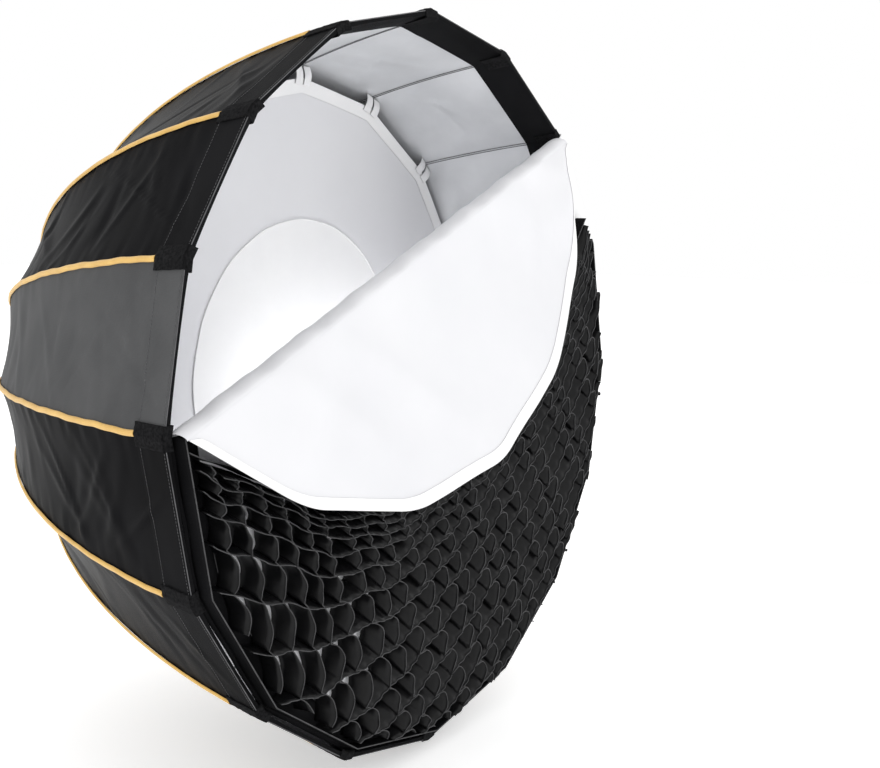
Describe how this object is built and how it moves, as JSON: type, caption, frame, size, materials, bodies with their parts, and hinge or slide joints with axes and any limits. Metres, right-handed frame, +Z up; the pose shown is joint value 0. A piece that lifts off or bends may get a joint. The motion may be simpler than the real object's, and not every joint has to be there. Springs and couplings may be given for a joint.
{
  "type": "parabolic softbox",
  "caption": "Deep folding parabolic softbox with hinged ribs, inner and front diffusers, a turned-down flap and a cloth honeycomb grid.",
  "frame": {"origin": "centre of the face of the bayonet plate that seats on the light", "axes": "+Y back along the softbox's axis, towards the light; -Y out of the opening; +Z up; +X to the right as seen from behind the opening's front"},
  "size_m": [1.2066, 0.919, 1.2066],
  "materials": {
    "rib_steel": "black spring-steel rod",
    "shell_cloth": "black satin polyester, heat-resistant, silver-backed",
    "panel_grey": "grey ribbed polyester",
    "lining_silver": "silver-grey reflective lining",
    "piping_gold": "golden-yellow woven piping",
    "webbing_black": "black brushed hook-and-loop webbing",
    "hub_casting": "matt black powder-coated casting",
    "plate_aluminium": "turned aluminium",
    "pin_steel": "bright steel",
    "elastic_cloth": "black ribbed elastic",
    "diffuser_cloth": "white translucent diffusion cloth",
    "hem_tape": "bright white hem tape",
    "grid_cloth": "black thin cloth strips with grey thread edges"
  },
  "bodies": {
    "hub": {"hub_ring": "hub_casting", "hinge_pins": "pin_steel", "bayonet_plate": "plate_aluminium", "plate_screws": "pin_steel", "elastic_collar": "elastic_cloth", "inner_diffuser": "diffuser_cloth", "inner_patch": "diffuser_cloth", "inner_straps": "diffuser_cloth"},
    "rib_01": {"rib_01": "rib_steel", "panel_01": "shell_cloth"},
    "rib_02": {"rib_02": "rib_steel", "panel_02": "shell_cloth"},
    "rib_03": {"rib_03": "rib_steel", "panel_03": "shell_cloth"},
    "rib_04": {"rib_04": "rib_steel", "panel_04": "shell_cloth"},
    "rib_05": {"rib_05": "rib_steel", "panel_05": "shell_cloth"},
    "rib_06": {"rib_06": "rib_steel", "panel_06": "shell_cloth"},
    "rib_07": {"rib_07": "rib_steel", "panel_07": "shell_cloth"},
    "rib_08": {"rib_08": "rib_steel", "panel_08": "shell_cloth"},
    "rib_09": {"rib_09": "rib_steel", "panel_09": "shell_cloth"},
    "rib_10": {"rib_10": "rib_steel", "panel_10": "shell_cloth"},
    "rib_11": {"rib_11": "rib_steel", "panel_11": "shell_cloth"},
    "rib_12": {"rib_12": "rib_steel", "panel_12": "shell_cloth"},
    "rib_13": {"rib_13": "rib_steel", "panel_13": "shell_cloth"},
    "rib_14": {"rib_14": "rib_steel", "panel_14": "shell_cloth"},
    "rib_15": {"rib_15": "rib_steel", "panel_15": "shell_cloth"},
    "rib_16": {"rib_16": "rib_steel", "panel_16": "shell_cloth"},
    "front_cover": {"front_diffuser": "diffuser_cloth", "front_hem": "hem_tape", "grid": "grid_cloth", "grid_border": "shell_cloth"},
    "flap": {"flap": "diffuser_cloth", "flap_hem": "hem_tape"}
  },
  "joints": [
    {"name": "fold_01", "type": "hinge", "parent": "hub", "child": "rib_01", "pos_m": [0, -0.026, 0.078], "axis": [1, 0, 0], "range_deg": [0, 32], "deforming": ["panel_01", "inner_diffuser", "inner_patch", "inner_straps"]},
    {"name": "fold_02", "type": "hinge", "parent": "hub", "child": "rib_02", "pos_m": [-0.02985, -0.026, 0.07206], "axis": [0.9239, 0, 0.3827], "range_deg": [0, 32], "deforming": ["panel_02"]},
    {"name": "fold_03", "type": "hinge", "parent": "hub", "child": "rib_03", "pos_m": [-0.05515, -0.026, 0.05515], "axis": [0.7071, 0, 0.7071], "range_deg": [0, 32], "deforming": ["panel_03"]},
    {"name": "fold_04", "type": "hinge", "parent": "hub", "child": "rib_04", "pos_m": [-0.07206, -0.026, 0.02985], "axis": [0.3827, 0, 0.9239], "range_deg": [0, 32], "deforming": ["panel_04"]},
    {"name": "fold_05", "type": "hinge", "parent": "hub", "child": "rib_05", "pos_m": [-0.078, -0.026, 0], "axis": [0, 0, 1], "range_deg": [0, 32], "deforming": ["panel_05"]},
    {"name": "fold_06", "type": "hinge", "parent": "hub", "child": "rib_06", "pos_m": [-0.07206, -0.026, -0.02985], "axis": [-0.3827, 0, 0.9239], "range_deg": [0, 32], "deforming": ["panel_06"]},
    {"name": "fold_07", "type": "hinge", "parent": "hub", "child": "rib_07", "pos_m": [-0.05515, -0.026, -0.05515], "axis": [-0.7071, 0, 0.7071], "range_deg": [0, 32], "deforming": ["panel_07"]},
    {"name": "fold_08", "type": "hinge", "parent": "hub", "child": "rib_08", "pos_m": [-0.02985, -0.026, -0.07206], "axis": [-0.9239, 0, 0.3827], "range_deg": [0, 32], "deforming": ["panel_08"]},
    {"name": "fold_09", "type": "hinge", "parent": "hub", "child": "rib_09", "pos_m": [0, -0.026, -0.078], "axis": [-1, 0, 0], "range_deg": [0, 32], "deforming": ["panel_09"]},
    {"name": "fold_10", "type": "hinge", "parent": "hub", "child": "rib_10", "pos_m": [0.02985, -0.026, -0.07206], "axis": [-0.9239, 0, -0.3827], "range_deg": [0, 32], "deforming": ["panel_10"]},
    {"name": "fold_11", "type": "hinge", "parent": "hub", "child": "rib_11", "pos_m": [0.05515, -0.026, -0.05515], "axis": [-0.7071, 0, -0.7071], "range_deg": [0, 32], "deforming": ["panel_11"]},
    {"name": "fold_12", "type": "hinge", "parent": "hub", "child": "rib_12", "pos_m": [0.07206, -0.026, -0.02985], "axis": [-0.3827, 0, -0.9239], "range_deg": [0, 32], "deforming": ["panel_12"]},
    {"name": "fold_13", "type": "hinge", "parent": "hub", "child": "rib_13", "pos_m": [0.078, -0.026, 0], "axis": [0, 0, -1], "range_deg": [0, 32], "deforming": ["panel_13"]},
    {"name": "fold_14", "type": "hinge", "parent": "hub", "child": "rib_14", "pos_m": [0.07206, -0.026, 0.02985], "axis": [0.3827, 0, -0.9239], "range_deg": [0, 32], "deforming": ["panel_14"]},
    {"name": "fold_15", "type": "hinge", "parent": "hub", "child": "rib_15", "pos_m": [0.05515, -0.026, 0.05515], "axis": [0.7071, 0, -0.7071], "range_deg": [0, 32], "deforming": ["panel_15"]},
    {"name": "fold_16", "type": "hinge", "parent": "hub", "child": "rib_16", "pos_m": [0.02985, -0.026, 0.07206], "axis": [0.9239, 0, -0.3827], "range_deg": [0, 32], "deforming": ["panel_16"]},
    {"name": "cover_off", "type": "slide", "parent": "hub", "child": "front_cover", "axis": [0, -1, 0], "range_m": [0, 0.72]},
    {"name": "flap_turn", "type": "hinge", "parent": "front_cover", "child": "flap", "pos_m": [-0.08553, -0.8, 0.20647], "axis": [-0.9239, 0, -0.3827], "range_deg": [0, 166]}
  ],
  "couplings": [
    {"joint": "fold_02", "follows": "fold_01", "ratio": 1},
    {"joint": "fold_03", "follows": "fold_01", "ratio": 1},
    {"joint": "fold_04", "follows": "fold_01", "ratio": 1},
    {"joint": "fold_05", "follows": "fold_01", "ratio": 1},
    {"joint": "fold_06", "follows": "fold_01", "ratio": 1},
    {"joint": "fold_07", "follows": "fold_01", "ratio": 1},
    {"joint": "fold_08", "follows": "fold_01", "ratio": 1},
    {"joint": "fold_09", "follows": "fold_01", "ratio": 1},
    {"joint": "fold_10", "follows": "fold_01", "ratio": 1},
    {"joint": "fold_11", "follows": "fold_01", "ratio": 1},
    {"joint": "fold_12", "follows": "fold_01", "ratio": 1},
    {"joint": "fold_13", "follows": "fold_01", "ratio": 1},
    {"joint": "fold_14", "follows": "fold_01", "ratio": 1},
    {"joint": "fold_15", "follows": "fold_01", "ratio": 1},
    {"joint": "fold_16", "follows": "fold_01", "ratio": 1},
    {"joint": "cover_off", "follows": "fold_01", "m_per_rad": 1.2891}
  ]
}
